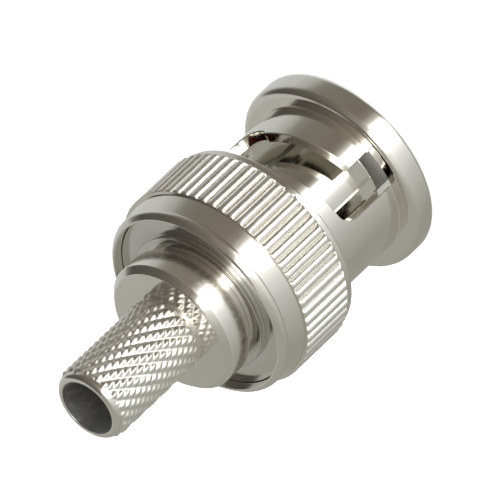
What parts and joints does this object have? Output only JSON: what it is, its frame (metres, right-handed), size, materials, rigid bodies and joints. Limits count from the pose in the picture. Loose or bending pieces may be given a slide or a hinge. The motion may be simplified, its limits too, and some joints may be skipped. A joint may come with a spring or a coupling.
{
  "type": "bnc cable plug",
  "caption": "Bayonet coaxial cable plug for crimping: knurled turning nut with two cam slots, slotted outer contact, centre pin, and a knurled crimp neck.",
  "frame": {"origin": "centre of the nut's front rim, on the mating face, which the plug stands on", "axes": "+Z along the plug's axis from the mating face to the cable end; -Y is the side with one bayonet way in, seen in the picture"},
  "size_m": [0.0144, 0.0144, 0.0262],
  "materials": {
    "nickel_plate": "bright nickel plate on turned brass",
    "nickel_contact": "bright nickel plate on spring bronze",
    "washer_steel": "bright plated flat steel",
    "spring_bronze": "bare phosphor bronze strip",
    "gold_plate": "gold plate",
    "white_ptfe": "smooth, waxy white",
    "seal_rubber": "soft silicone"
  },
  "bodies": {
    "plug": {"outer_contact": "nickel_contact", "plug_body": "nickel_plate", "crimp_body": "nickel_plate", "front_insulator": "white_ptfe", "rear_insulator": "white_ptfe", "centre_contact": "gold_plate", "sealing_ring": "seal_rubber", "retaining_ring": "washer_steel", "retaining_washer": "washer_steel", "wave_washer_front": "spring_bronze", "wave_washer_rear": "spring_bronze"},
    "thrust_washer": {"thrust_washer": "washer_steel"},
    "nut": {"coupling_nut": "nickel_plate"}
  },
  "joints": [
    {"name": "nut_draw", "type": "slide", "parent": "plug", "child": "thrust_washer", "axis": [0, 0, -1], "range_m": [0, 0.0006], "stiffness_N_per_m": 500, "springref_m": -0.002, "deforming": ["wave_washer_front", "wave_washer_rear"]},
    {"name": "nut_turn", "type": "hinge", "parent": "thrust_washer", "child": "nut", "pos_m": [0, 0, 0.0135], "axis": [0, 0, 1], "continuous": true}
  ]
}
